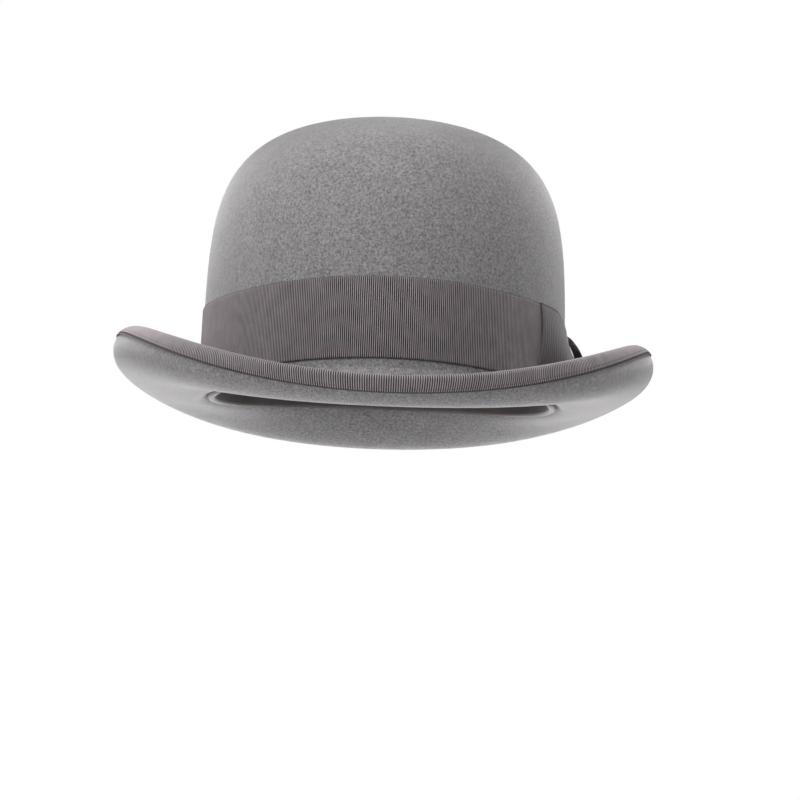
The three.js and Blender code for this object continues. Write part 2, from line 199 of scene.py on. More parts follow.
def brim_width(phi):
    return round_the_brim(phi, BRIM_WIDTH_SIDE, BRIM_WIDTH_FRONT)


def brim_slope(phi, distance):
    """Slope of the brim's section: upright at the crown, then out, then curling up at the edge."""
    start = round_the_brim(phi, BRIM_SLOPE_SIDE, BRIM_SLOPE_FRONT)
    end = round_the_brim(phi, CURL_SLOPE_SIDE, CURL_SLOPE_FRONT)
    power = round_the_brim(phi, CURL_POWER_SIDE, CURL_POWER_FRONT)
    across = np.clip(distance / brim_width(phi), 0, 1)
    wall = (-math.pi / 2 - start) * np.exp(-distance / BREAK_LENGTH)
    return start + (end - start) * across**power + wall


WALK_STEPS = 90


def brim_point(phi, distance, depth):
    """A point of the brim, found by walking out along its section from the foot of the crown."""
    phi, distance, depth = np.broadcast_arrays(phi, distance, depth)
    out = np.zeros(phi.shape)
    up = np.zeros(phi.shape)
    for i in range(WALK_STEPS):
        slope = brim_slope(phi, distance * (i + 0.5) / WALK_STEPS)
        out += np.cos(slope) * distance / WALK_STEPS
        up += np.sin(slope) * distance / WALK_STEPS
    slope = brim_slope(phi, distance)
    out += (depth - FELT / 2) * np.sin(slope)
    up -= (depth - FELT / 2) * np.cos(slope)
    outward = np.stack([np.cos(phi) / CROWN_HALF_WIDTH, np.sin(phi) / CROWN_HALF_LENGTH])
    outward /= np.linalg.norm(outward, axis=0)
    return points(
        (CROWN_HALF_WIDTH - FELT / 2) * np.cos(phi) * (1 + EGG * np.sin(phi)) + outward[0] * out,
        (CROWN_HALF_LENGTH - FELT / 2) * np.sin(phi) + outward[1] * out,
        foot_height(phi) + up + LIFT,
    )


def edge_point(phi, inset, depth):
    """A point by its distance in from the brim's edge."""
    return brim_point(phi, brim_width(phi) - inset, depth)


def lengths_along(line):
    """Distance along a line of points, at each of them."""
    steps = np.linalg.norm(np.diff(line, axis=0), axis=1)
    return np.concatenate([[0], np.cumsum(steps)])


def evenly(curve, low, high, count):
    """Values from low to high that are `count` equal steps apart along the curve."""
    fine = np.linspace(low, high, 2000)
    far = lengths_along(curve(fine))
    return np.interp(np.linspace(0, far[-1], count + 1), far, fine)


# ---- Making a piece ---------------------------------------------------------------------------


def deselect():
    bpy.ops.object.select_all(action="DESELECT")


def sewn(piece):
    """Closes the seams and poles of a piece, turns its faces outwards and smooths it."""
    deselect()
    piece.select_set(True)
    bpy.context.view_layer.objects.active = piece
    bpy.ops.object.mode_set(mode="EDIT")
    bpy.ops.mesh.select_all(action="SELECT")
    bpy.ops.mesh.remove_doubles(threshold=0.005 * MM)
    bpy.ops.mesh.normals_make_consistent(inside=False)
    bpy.ops.object.mode_set(mode="OBJECT")
    bpy.ops.object.shade_smooth()
    return piece


def laid(name, columns, rows, place, pattern):
    """Adds a flat grid and lays it on the hat. For arrays of columns and rows of the grid, counted
    from 0, `place` gives the points and `pattern` the cloth's own coordinates, ribs along and
    metres across."""
    deselect()
    bpy.ops.mesh.primitive_grid_add(x_subdivisions=columns, y_subdivisions=rows, size=1)
    piece = bpy.context.object
    piece.name = name
    mesh = piece.data
    mesh.name = name
    at = np.empty(len(mesh.vertices) * 3, np.float32)
    mesh.vertices.foreach_get("co", at)
    column = np.rint((at[0::3] + 0.5) * columns).astype(int)
    row = np.rint((at[1::3] + 0.5) * rows).astype(int)
    mesh.vertices.foreach_set("co", place(column, row).astype(np.float32).ravel())
    corners = np.empty(len(mesh.loops), np.int32)
    mesh.loops.foreach_get("vertex_index", corners)
    cloth = np.stack(np.broadcast_arrays(*pattern(column, row)), axis=-1)[corners]
    mesh.uv_layers.active.data.foreach_set("uv", cloth.astype(np.float32).ravel())
    return sewn(piece)


def ring(name, section, place, columns, ribs=0, angles=None, shape=None, face=0):
    """A closed section taken all the way round the hat. The section is a list of (row, depth),
    and `shape` may change both for a column, as ribs and gathers do. On a ribbon, whose first
    `face` points are its outer face, the cloth's coordinate is the distance from its woven edge."""
    section = np.array(section + section[:1], float)
    if angles is None:
        angles = np.linspace(0, TURN, columns + 1)
    far = lengths_along(section)
    if face:
        far = np.minimum(far, np.abs(far[face - 1] - far))

    def spot(column, row):
        at, depth = section[row, 0], section[row, 1]
        if shape:
            at, depth = shape(column, row, at, depth)
        return place(angles[column % columns], at, depth)

    def cloth(column, row):
        return column * ((ribs or columns) / columns), far[row]

    return laid(name, columns, len(section) - 1, spot, cloth)


def thick(piece, thickness, offset=0):
    """Gives a sheet its thickness."""
    wall = piece.modifiers.new("thickness", "SOLIDIFY")
    wall.thickness = thickness
    wall.offset = offset
    wall.use_even_offset = False
    deselect()
    piece.select_set(True)
    bpy.context.view_layer.objects.active = piece
    bpy.ops.object.modifier_apply(modifier=wall.name)
    return piece


def arc(row, depth, radius, start, end, steps):
    """Points of a part turn in a section."""
    turn = np.linspace(start, end, steps + 1)
    return [(row + radius * math.cos(a), depth + radius * math.sin(a)) for a in turn]


def joined(name, copies):
    deselect()
    for copy in copies:
        copy.select_set(True)
    bpy.context.view_layer.objects.active = copies[0]
    bpy.ops.object.join()
    piece = bpy.context.object
    piece.name = name
    piece.data.name = name
    return piece


def stitch_model(length, radius):
    """One stitch: a thread that dips into the cloth at both ends."""
    deselect()
    bpy.ops.mesh.primitive_uv_sphere_add(segments=8, ring_count=6, radius=radius, rotation=(0, BACK, 0))
    stitch = bpy.context.object
    bpy.ops.object.transform_apply(location=True, rotation=True, scale=True)
    for vertex in stitch.data.vertices:
        reach = math.copysign(abs(vertex.co.x / radius) ** 0.6, vertex.co.x)
        vertex.co.x = reach * length / 2
        vertex.co.z -= radius * 1.3 * abs(reach) ** 3
    bpy.ops.object.shade_smooth()
    return stitch


def stitches(name, place, angles, length, slant=0.0):
    """A row of stitches along place(phi, lift), where lift is outwards from the cloth."""
    model = stitch_model(length, THREAD_RADIUS)
    here = place(angles, 0)
    along = place(angles + 0.002, 0) - place(angles - 0.002, 0)
    out = place(angles, 0.1 * MM) - here
    draw = random.Random(SEED)
    copies = []
    for i in range(len(angles)):
        x = Vector(along[i]).normalized()
        z = Vector(out[i]).normalized()
        y = z.cross(x).normalized()
        turn = Matrix((x, y, x.cross(y))).transposed().to_4x4()
        tilt = Matrix.Rotation(draw.uniform(-0.05, 0.05) + slant * (-1) ** i, 4, "Z")
        size = Matrix.Diagonal((draw.uniform(0.93, 1.05), 1, 1, 1))
        copy = model.copy()
        copy.data = model.data.copy()
        copy.data.transform(Matrix.Translation(Vector(here[i])) @ turn @ tilt @ size)
        bpy.context.collection.objects.link(copy)
        copies.append(copy)
    bpy.data.objects.remove(model)
    return joined(name, copies)


# ---- Paints -----------------------------------------------------------------------------------


class Amount:
    """A number that changes over a surface, as the output socket of a shader node."""

    def __init__(self, paint, socket):
        self.paint = paint
        self.socket = socket

    def reckon(self, operation, *numbers):
        return self.paint.node("ShaderNodeMath", {"operation": operation}, dict(enumerate(numbers)))

    def __add__(self, other):
        return self.reckon("ADD", self, other)

    def __sub__(self, other):
        return self.reckon("SUBTRACT", self, other)

    def __rsub__(self, other):
        return self.reckon("SUBTRACT", other, self)

    def __mul__(self, other):
        return self.reckon("MULTIPLY", self, other)

    def __truediv__(self, other):
        return self.reckon("DIVIDE", self, other)

    __radd__ = __add__
    __rmul__ = __mul__

    def wave(self):
        """1 at each whole number and -1 half-way between."""
        return self.reckon("COSINE", self * TURN)

    def within(self, low, high):
        """0 up to low, 1 from high, and smooth between."""
        settings = {"interpolation_type": "SMOOTHSTEP"}
        sockets = {"Value": self, "From Min": low, "From Max": high}
        return self.paint.node("ShaderNodeMapRange", settings, sockets)


class Paint:
    """A material that is built up node by node."""

    def __init__(self, name):
        self.material = bpy.data.materials.new(name)
        self.material.use_nodes = True
        self.tree = self.material.node_tree
        self.tree.nodes.clear()

    def node(self, kind, settings, sockets, output=0):
        made = self.tree.nodes.new(kind)
        for name, value in settings.items():
            setattr(made, name, value)
        for key, value in sockets.items():
            socket = self.find(made.inputs, key)
            if isinstance(value, Amount):
                self.tree.links.new(value.socket, socket)
            else:
                socket.default_value = value
        return Amount(self, self.find(made.outputs, output)) if made.outputs else None

    def find(self, sockets, key):
        if isinstance(key, int):
            return sockets[key]
        return next(s for s in sockets if key in (s.identifier, s.name))

    def place(self):
        return self.node("ShaderNodeTexCoord", {}, {}, "Object")

    def cloth(self):
        """The cloth's own coordinates: ribs along it, and metres across it."""
        own = self.node("ShaderNodeTexCoord", {}, {}, "UV")
        return self.part(own, "X"), self.part(own, "Y")

    def part(self, vector, axis):
        return self.node("ShaderNodeSeparateXYZ", {}, {0: vector}, axis)

    def vector(self, x, y, z=0.0):
        return self.node("ShaderNodeCombineXYZ", {}, {0: x, 1: y, 2: z})

    def grain(self, place, size, detail=2.0, rough=0.5):
        """Noise with features of about `size`, from -0.5 to 0.5."""
        sockets = {"Vector": place, "Scale": 1 / size, "Detail": detail, "Roughness": rough}
        return self.node("ShaderNodeTexNoise", {}, sockets) - 0.5

    def cells(self, place, size):
        """Distance from the middle of small cells of about `size`."""
        return self.node("ShaderNodeTexVoronoi", {}, {"Vector": place, "Scale": 1 / size})

    def colours(self, part, first, second):
        sockets = {"Factor_Float": part, "A_Color": first, "B_Color": second}
        return self.node("ShaderNodeMix", {"data_type": "RGBA"}, sockets, "Result_Color")

    def bump(self, height, depth, strength=1.0):
        sockets = {"Strength": strength, "Distance": depth, "Height": height}
        return self.node("ShaderNodeBump", {}, sockets)

    def finish(self, sockets):
        shader = self.node("ShaderNodeBsdfPrincipled", {}, sockets)
        self.node("ShaderNodeOutputMaterial", {}, {"Surface": shader})
        return self.material


def wool_felt():
    paint = Paint("wool_felt")
    place = paint.place()
    nap = paint.grain(place, 0.5 * MM, 3.0, 0.7)
    clumps = paint.grain(place, 1.15 * MM, 2.0)
    clouds = paint.grain(place, 14 * MM, 2.0)
    shade = 0.5 + nap * 2.6 + clumps * 2.0 + clouds * 0.35
    hairs = paint.grain(place, 0.28 * MM, 2.0)
    return paint.finish(
        {
            "Base Color": paint.colours(shade, (0.098, 0.094, 0.096, 1), (0.250, 0.243, 0.246, 1)),
            "Roughness": 0.95,
            "Specular IOR Level": 0.15,
            "Sheen Weight": 0.65,
            "Sheen Roughness": 0.35,
            "Sheen Tint": (1, 0.98, 1, 1),
            "Normal": paint.bump(nap * 0.6 + clumps * 0.5 + hairs * 0.5, 0.5 * MM, 0.7),
        }
    )


def grosgrain(name, painted_groove_shade, light):
    """Ribbed ribbon: how much shade is painted into its grooves against its crests, and its lightest
    grey.
    """
    paint = Paint(name)
    lightest = (light, light * 0.875, light * 0.917, 1)
    ribs, across = paint.cloth()
    crest = 0.5 + ribs.wave() * 0.5
    warp = (across / (0.33 * MM) + ribs * 0.5).wave()
    uneven = paint.grain(paint.vector(ribs * 0.45, across * 120), 1.0, 2.0)
    slub = paint.grain(paint.place(), 7 * MM, 2.0)
    # Painted shade: a dark band just in from each woven edge stands for the holes between the picot
    # loops, which show only shade.
    picot_holes_painted_shade = across.within(0.1 * MM, 0.35 * MM) * (1 - across.within(0.7 * MM, 0.95 * MM))
    woven_edge = 1 - picot_holes_painted_shade * (0.8 + uneven * 0.8)
    # Painted shade: the grooves between the ribs are darkened in the colour, on top of the ribs' real
    # relief; the warp term is the weave's own pattern.
    weave = 1 - (1 - crest * crest) * painted_groove_shade + warp * crest * 0.1
    shade = (weave + uneven * 0.3 + slub * 0.2) * woven_edge
    return paint.finish(
        {
            "Base Color": paint.colours(shade, (0.006, 0.005, 0.005, 1), lightest),
            "Roughness": 0.5 + uneven * 0.15,
            "Specular IOR Level": 0.35,
            "Normal": paint.bump(crest + warp * 0.15 + uneven * 0.3, 0.12 * MM, 0.6),
        }
    )


def sewing_thread():
    paint = Paint("sewing_thread")
    place = paint.place()
    twist = (paint.part(place, "X") + paint.part(place, "Y") + paint.part(place, "Z")) / (0.35 * MM)
    ply = twist.wave() * 0.5 + 0.5
    return paint.finish(
        {
            "Base Color": paint.colours(ply, (0.012, 0.010, 0.011, 1), (0.040, 0.035, 0.037, 1)),
            "Roughness": 0.55,
            "Normal": paint.bump(ply, 0.06 * MM),
        }
    )


def sweatband_leather_paint():
    paint = Paint("sweatband_leather")
    place = paint.place()
    pores = paint.cells(place, 0.9 * MM)
    creases = paint.grain(place, 5 * MM, 4.0, 0.6)
    wear = paint.grain(place, 24 * MM, 2.0)
    shade = 0.5 + creases * 0.6 + wear * 0.8
    return paint.finish(
        {
            "Base Color": paint.colours(shade, (0.040, 0.035, 0.034, 1), (0.105, 0.094, 0.090, 1)),
            "Roughness": 0.62 + creases * 0.2 + pores * 0.08,
            "Specular IOR Level": 0.15,
            "Normal": paint.bump(pores * 0.5 + creases * 0.7, 0.14 * MM, 0.7),
        }
    )


def lining_satin_paint():
    paint = Paint("lining_satin")
    place = paint.place()
    columns, across = paint.cloth()
    weave = (across / (0.4 * MM)).wave() * 0.5 + 0.5
    streaks = paint.grain(paint.vector(columns * 2.2, across * 30), 1.0, 3.0, 0.6)
    soft = paint.grain(place, 16 * MM, 2.0)
    shade = 0.5 + streaks * 0.5 + soft * 0.5 + weave * 0.06
    return paint.finish(
        {
            "Base Color": paint.colours(shade, (0.235, 0.222, 0.232, 1), (0.360, 0.345, 0.358, 1)),
            "Roughness": 0.34 + streaks * 0.12,
            "Specular IOR Level": 0.6,
            "Anisotropic": 0.4,
            "Normal": paint.bump(weave * 0.3 + streaks, 0.08 * MM, 0.6),
        }
    )


def corded_satin():
    paint = Paint("corded_satin")
    place = paint.place()
    sheen = paint.grain(place, 1.2 * MM, 3.0)
    return paint.finish(
        {
            "Base Color": paint.colours(0.5 + sheen, (0.105, 0.093, 0.097, 1), (0.190, 0.170, 0.176, 1)),
            "Roughness": 0.42 + sheen * 0.2,
            "Normal": paint.bump(sheen, 0.1 * MM),
        }
    )


def cotton_tape():
    paint = Paint("cotton_tape")
    along, across = paint.cloth()
    weave = (along * 2).wave() * (across / (0.8 * MM)).wave()
    fluff = paint.grain(paint.place(), 0.8 * MM, 3.0)
    shade = 0.5 + weave * 0.3 + fluff * 0.5
    return paint.finish(
        {
            "Base Color": paint.colours(shade, (0.085, 0.078, 0.080, 1), (0.155, 0.143, 0.146, 1)),
            "Roughness": 0.88,
            "Normal": paint.bump(weave * 0.5 + fluff, 0.12 * MM, 0.8),
        }
    )


def reed_plastic():
    paint = Paint("reed_plastic")
    flow = paint.grain(paint.place(), 3 * MM, 2.0)
    return paint.finish(
        {
            "Base Color": paint.colours(0.5 + flow, (0.56, 0.53, 0.46, 1), (0.66, 0.63, 0.56, 1)),
            "Roughness": 0.5 + flow * 0.1,
            "Normal": paint.bump(flow, 0.05 * MM),
        }
    )


def woven_label():
    paint = Paint("woven_label")
    along, across = paint.cloth()
    weave = (along * 40).wave() * (across / (0.5 * MM)).wave()
    fluff = paint.grain(paint.place(), 1.1 * MM, 3.0)
    shade = 0.5 + weave * 0.25 + fluff * 0.5
    return paint.finish(
        {
            "Base Color": paint.colours(shade, (0.66, 0.64, 0.58, 1), (0.80, 0.78, 0.73, 1)),
            "Roughness": 0.8,
            "Normal": paint.bump(weave + fluff, 0.08 * MM, 0.7),
        }
    )


def clear_sheet():
    paint = Paint("clear_sheet")
    place = paint.place()
    haze = paint.grain(place, 30 * MM, 3.0)
    scuffs = paint.grain(place, 2.5 * MM, 4.0, 0.7)
    return paint.finish(
        {
            "Base Color": (0.9, 0.92, 0.92, 1),
            "Roughness": 0.09 + (haze + 0.5) * 0.06,
            "Alpha": 0.2 + haze * 0.12 + scuffs * 0.08,
            "Coat Weight": 0.5,
            "Coat Roughness": 0.05,
            "Normal": paint.bump(haze, 0.6 * MM, 0.5),
        }
    )


# ---- Felt -------------------------------------------------------------------------------------

FELT_COLUMNS = 240
CROWN_ROWS = 80
ROOT_ROWS = 12
BRIM_ROWS = 42
ROOT_PART = 0.16  # the part of the brim's width over which its root bends
CROWN_SPREAD = 0.2  # opens out the rows near the top of the crown, which is almost level there


def crown_rises():
    """Heights from the top of the crown to its foot, an even distance apart along its outline."""

    def outline(rise):
        return crown_point(BACK, rise**CROWN_SPREAD, 0)

    return evenly(outline, 1, 0, CROWN_ROWS) ** CROWN_SPREAD


def felt_shell():
    rises = crown_rises()
    half = FELT / 2

    def felt_point(phi, row, depth):
        foot = (foot_height(phi) - CROWN_FOOT) / (CROWN_TOP - CROWN_FOOT)
        rise = np.interp(row * CROWN_ROWS, np.arange(CROWN_ROWS + 1), rises)
        crown = crown_point(phi, mix(foot, 1, rise), depth)
        brim = brim_point(phi, np.maximum(0, row - 1) * (brim_width(phi) - half), depth)
        overhang = np.maximum(0, row - 2) * half
        edge = brim_point(phi, brim_width(phi) - half + overhang, depth)
        upper = np.where(row[..., None] <= 1, crown, brim)
        return np.where(row[..., None] <= 2, upper, edge)

    down = [
        *np.linspace(0, 1, CROWN_ROWS + 1),
        *np.linspace(1, 1 + ROOT_PART, ROOT_ROWS + 1)[1:],
        *np.linspace(1 + ROOT_PART, 2, BRIM_ROWS + 1)[1:],
    ]
    rounding = arc(2, half, 1, -math.pi / 2, math.pi / 2, 8)[1:-1]
    section = [(row, 0) for row in down]
    section += [(row, half + (depth - half) * half) for row, depth in rounding]
    section += [(row, FELT) for row in reversed(down)]
    return ring("felt_shell", section, felt_point, FELT_COLUMNS)


# ---- Binding ----------------------------------------------------------------------------------


def edge_angles(count):
    """Angles an even distance apart along the brim's edge."""
    return evenly(lambda phi: edge_point(phi, 0, FELT / 2), 0, TURN, count)


def edge_length():
    turn = np.linspace(0, TURN, 721)
    return lengths_along(edge_point(turn, 0, FELT / 2))[-1]


def binding_ribbon():
    half = FELT / 2
    ribs = round(edge_length() / BINDING_RIB)
    columns_per_rib = 4
    columns = columns_per_rib * ribs
    near = half + REST
    far = near + RIBBON
    leg = list(np.linspace(BINDING_WIDTH, half, 7)[:-1])
    leg[1:1] = [BINDING_WIDTH - 0.4 * MM, BINDING_WIDTH - 0.8 * MM]
    outer = [(BINDING_WIDTH, half - near)]
    outer += [(inset, half - far) for inset in leg]
    outer += arc(half, half, far, -math.pi / 2, -3 * math.pi / 2, 7)
    outer += [(inset, half + far) for inset in reversed(leg)]
    inner = [(BINDING_WIDTH, half + near)]
    inner += arc(half, half, near, -3 * math.pi / 2, -math.pi / 2, 3)

    def ribbed(column, row, inset, depth):
        # The grooves between the ribs are sunk in the outer face, half as deep at its two ends.
        crest = np.cos(column * (TURN / columns_per_rib))
        share = np.where((row > 0) & (row < len(outer)), 1.0, 0.0)
        share = np.where((row == 1) | (row == len(outer) - 1), 0.5, share)
        away = np.stack([np.minimum(0, inset - half), depth - half])
        away = away / np.maximum(1e-9, np.linalg.norm(away, axis=0))
        lift = share * (crest - 1) * RIB_DEPTH / 2
        woven_edge = np.where(inset > BINDING_WIDTH - 0.5 * MM, crest * PICOT, 0)
        return inset + away[0] * lift + woven_edge, depth + away[1] * lift

    angles = edge_angles(columns)
    return ring("binding_ribbon", outer + inner, edge_point, columns, ribs, angles, ribbed, len(outer))


def binding_stitches(name, side):
    """The binding's stitches on its upper face, side -1, or its under face, side 1."""
    inset = BINDING_WIDTH - STITCH_INSET
    face = FELT / 2 + side * (FELT / 2 + REST + RIBBON - RIB_DEPTH / 2)
    angles = edge_angles(round(edge_length() / STITCH_PITCH))[:-1]

    def place(phi, lift):
        return edge_point(phi, inset, face + side * lift)

    return stitches(name, place, angles, STITCH_LENGTH)


# ---- Hat band and bow -------------------------------------------------------------------------


def band_angles(count):
    return evenly(lambda phi: wall_point(phi, BAND_MIDDLE, 0), 0, TURN, count)


def band_length():
    turn = np.linspace(0, TURN, 721)
    return lengths_along(wall_point(turn, BAND_MIDDLE, 0))[-1]


def drawn_in(angle, pinch, width):
    """Half the height, at an angle from the knot, of a ribbon that the knot gathers to `pinch`."""
    return mix(pinch, width, smooth(np.abs(angle) / BOW_SPREAD)) / 2


def band_ribbon():
    ribs = round(band_length() / BAND_RIB)
    columns_per_rib = 6
    columns = columns_per_rib * ribs
    top = BAND_RISE + BAND_WIDTH
    lip = 0.4 * MM
    shoulder = BAND_FACE * 0.6
    rises = [BAND_RISE + lip, *np.linspace(BAND_RISE + 1.2 * MM, top - 1.2 * MM, 7), top - lip]
    section = [(BAND_RISE, -REST), (BAND_RISE, -shoulder)]
    section += [(rise, -BAND_FACE) for rise in rises]
    section += [(top, -shoulder), (top, -REST)]
    faces = len(section)
    section += [(rise, -REST) for rise in rises[::-3]]
    angles = band_angles(columns)

    def ribbed(column, row, rise, depth):
        crest = np.cos(column * (TURN / columns_per_rib))
        on_face = (row > 0) & (row < faces - 1)
        sunk = np.where(on_face, (1 - crest) * RIB_DEPTH / 2, 0)
        end = np.where(rise < BAND_RISE + lip / 4, -1, np.where(rise > top - lip / 4, 1, 0))
        # Under the bow the band is drawn in too, and stays narrower than the bow.
        from_knot = (angles[column % columns] + math.pi) % TURN - math.pi
        half = drawn_in(from_knot, BAND_PINCH, BAND_WIDTH)
        drawn = BAND_MIDDLE + (rise - BAND_MIDDLE) * half / (BAND_WIDTH / 2)
        return drawn + end * crest * PICOT * 0.8, depth + sunk

    return ring("band_ribbon", section, wall_point, columns, ribs, angles, ribbed, faces)


def bow_ribbon():
    """The bow: a closed loop of ribbon, laid flat on the band and gathered in the middle."""
    leaf_ribs = 62
    fold_ribs = 6
    columns_per_rib = 4
    leaf = leaf_ribs * columns_per_rib
    fold = fold_ribs * columns_per_rib
    columns = 2 * (leaf + fold)
    rows = 22
    # Along the ribbon: the outer leaf, a fold, the inner leaf and the other fold.
    step = np.arange(columns) % columns
    half_loop = leaf + fold
    second = step >= half_loop
    local = np.where(second, step - half_loop, step)
    in_fold = local > leaf
    turn = np.where(in_fold, (local - leaf) / fold * math.pi, 0)
    straight = np.where(in_fold, 1.0, -1 + 2 * np.minimum(local, leaf) / leaf)
    along = np.where(second, -straight, straight)

    def spot(column, row):
        column = column % columns
        across = row / rows * 2 - 1  # 1 at the upper edge
        x = along[column]
        reach = np.abs(x)
        angle = x * BOW_HALF_ANGLE
        height = drawn_in(angle, BOW_PINCH, BOW_WIDTH)
        # Past the edges of the band, which is drawn in further, the leaves lie on the felt.
        past_band = np.abs(across) * height - drawn_in(angle, BAND_PINCH, BAND_WIDTH)
        under = mix(BAND_FACE, REST, smooth(past_band / MM)) + REST + BOW_RIBBON / 2
        end_gap = BOW_END_GAP * np.maximum(0, 1 - across**2) ** 0.8
        gather = (1 - smooth(reach * 1.7)) * BOW_GATHER * np.cos(across * TURN * 1.6)
        bulge = BOW_BULGE * (1 - across * across) * np.sin(math.pi * reach) ** 2
        beside = np.interp((1 - across) / 2, BOW_STANDS_AT, BOW_STANDS_OFF) + gather
        outer = mix(beside, under + end_gap + LEAF_GAP, smooth(reach) ** 1.4) + bulge
        outer = np.maximum(outer, under + LEAF_GAP)
        inner = np.minimum(under + end_gap * smooth(reach * 2.2), outer - LEAF_GAP)
        top = np.where(second[column], inner, outer)
        bottom = np.where(second[column], outer, inner)
        middle, half = (top + bottom) / 2, (top - bottom) / 2
        off = middle + half * np.cos(turn[column])
        past = np.abs(half) * np.sin(turn[column]) * 0.9
        crest = np.cos(column * (TURN / columns_per_rib)) * BOW_RIB_DEPTH / 2
        woven = np.where(np.abs(across) > 0.999, np.sign(across) * crest * 2, 0)
        end = mix(BOW_END_FOOT, BOW_END_TOP, (across + 1) / 2)
        phi = x * end + np.sign(x) * past / CROWN_HALF_LENGTH
        flare = crest * np.where(second[column], -1, 1)
        return wall_point(phi, BAND_MIDDLE + height * across + woven, -(off + flare))

    def cloth(column, row):
        return column / columns_per_rib, np.minimum(row, rows - row) / rows * BOW_WIDTH

    return thick(laid("bow_ribbon", columns, rows, spot, cloth), BOW_RIBBON)


def rounded_line(corners, steps, times=4):
    """An open line with its corners cut smooth, as even steps."""
    line = np.array(corners, float)
    for _ in range(times):
        before, after = line[:-1], line[1:]
        cut = np.stack([mix(before, after, 0.25), mix(before, after, 0.75)], axis=1).reshape(-1, 2)
        line = np.concatenate([line[:1], cut, line[-1:]])
    far = lengths_along(line)
    even = np.linspace(0, far[-1], steps + 1)
    return np.stack([np.interp(even, far, line[:, 0]), np.interp(even, far, line[:, 1])], axis=1)


def bow_knot_ribbon():
    """The knot: a short ribbon that arches over the gathered middle and ends on the felt."""
    columns, rows, columns_per_rib = 140, 12, 4
    # Its path, from above the bow to below it: distances up from the band's middle, and off the felt.
    path = rounded_line(
        [
            (11.3 * MM, 0.3 * MM),
            (11.2 * MM, 1.6 * MM),
            (10.0 * MM, 3.3 * MM),
            (5.6 * MM, 6.8 * MM),
            (0.6 * MM, 9.1 * MM),
            (-2.0 * MM, 10.0 * MM),
            (-6.0 * MM, 10.6 * MM),
            (-10.4 * MM, 9.0 * MM),
            (-11.6 * MM, 5.0 * MM),
            (-11.0 * MM, 0.3 * MM),
        ],
        columns,
    )

    def spot(column, row):
        across = row / rows * 2 - 1
        rise, off = path[column, 0], path[column, 1]
        crest = np.cos(column * (TURN / columns_per_rib)) * BOW_RIB_DEPTH / 2
        arch = np.sin(math.pi * column / columns)
        belly = KNOT_BELLY * (1 - across * across) * arch
        half = KNOT_HALF_ANGLE * (1 - 0.1 * arch)
        half = half + np.where(np.abs(across) > 0.999, crest / CROWN_HALF_LENGTH, 0)
        # The strap is tilted: its front edge stands out and its rear edge lies on the loops.
        tilt = KNOT_TILT * (across + 1) / 2 * arch
        return wall_point(across * half, BAND_MIDDLE + rise, -(off + crest + belly - tilt))

    def cloth(column, row):
        return column / columns_per_rib, np.minimum(row, rows - row) / rows * KNOT_WIDTH

    return thick(laid("bow_knot_ribbon", columns, rows, spot, cloth), BOW_RIBBON)


# ---- Sweatband --------------------------------------------------------------------------------


def leaf_face(rise):
    """Depth of the leather's inner face, which leans out from the reed to the lining."""
    bulge = REED_DEPTH + REED_RADIUS + LEATHER
    bend = LEAF_TOP + LEATHER + 0.3 * MM
    low = mix(bulge, bend, smooth((rise - LEAF_FOOT) / (LEAF_BEND - LEAF_FOOT)))
    high = mix(bend, LEAF_TOP + LEATHER, (rise - LEAF_BEND) / (SWEATBAND_HEIGHT - LEAF_BEND))
    return np.where(rise < LEAF_BEND, low, high)


def sweatband_leather():
    near = REED_RADIUS + REST
    far = near + LEATHER
    edge = 0.4 * MM
    leaf = list(np.linspace(SWEATBAND_HEIGHT - edge, LEAF_FOOT, 16))
    hem = SWEATBAND_HEM - REED_DROP
    section = [(SWEATBAND_HEIGHT, float(leaf_face(SWEATBAND_HEIGHT)) - LEATHER / 2)]
    section += [(rise, float(leaf_face(rise))) for rise in leaf]
    section += arc(-REED_DROP, REED_DEPTH, far, BACK, 3 * BACK, 10)
    section += [(hem - edge, HEM_FACE - 0.8 * MM), (hem, HEM_FACE - 0.4 * MM), (hem - edge, HEM_FACE)]
    section += arc(-REED_DROP, REED_DEPTH, near, 3 * BACK, BACK, 8)
    section += [(rise, float(leaf_face(rise)) - LEATHER) for rise in reversed(leaf)]
    columns = 288
    seam = columns // 4

    def wavy(column, row, rise, depth):
        # The free upper half ripples a little, and the seam at the back is a groove.
        turn = column * TURN / columns
        slack = 0.25 * MM * smooth((rise - SWEATBAND_FREE) / SWEATBAND_FREE)
        ripple = np.sin(turn * 7) + 0.6 * np.sin(turn * 17 + 1)
        from_seam = np.abs((column - seam + columns / 2) % columns - columns / 2) / 1.2
        inner_face = (row > 0) & (row <= len(leaf) + 1)
        groove = 0.35 * MM * np.exp(-from_seam * from_seam) * inner_face
        return rise, depth + slack * (ripple + 1.6) * 0.5 - groove

    return ring("sweatband_leather", section, wall_point, columns, 0, None, wavy)


def sweatband_stitches():
    """The stitches along the reed, and the zigzag that closes the leather's seam at the back."""
    rise = LEAF_FOOT + 0.6 * MM

    def reed_row(phi, lift=0.0):
        return wall_point(phi, rise, leaf_face(rise) + lift)

    length = lengths_along(reed_row(np.linspace(0, TURN, 721)))[-1]
    angles = evenly(reed_row, 0, TURN, round(length / REED_STITCH_PITCH))[:-1]
    row = stitches("sweatband_stitch_row", reed_row, angles, 2.6 * MM)
    zigzag = []
    count = 20
    for i in range(count):
        height = mix(SWEATBAND_FREE - MM, SWEATBAND_HEIGHT - MM, (i + 0.5) / count)
        angle = np.array([BACK])

        def seam(phi, lift, height=height):
            return wall_point(phi, height, leaf_face(height) + lift - 0.1 * MM)

        zigzag.append(stitches(f"seam_stitch_{i}", seam, angle, 2.4 * MM, 0.55 * (-1) ** i))
    return joined("sweatband_stitches", [row, *zigzag])


def reed_tape_ribbon():
    foot = 1 * MM
    outside = [(foot, TAPE_BACK), (TAPE_HEIGHT, TAPE_BACK)]
    inside = [(TAPE_HEIGHT, TAPE_FACE), (7 * MM, TAPE_FACE), (foot, TAPE_FACE)]
    columns = 360
    return ring("reed_tape_ribbon", outside + inside, wall_point, columns, 2 * columns)


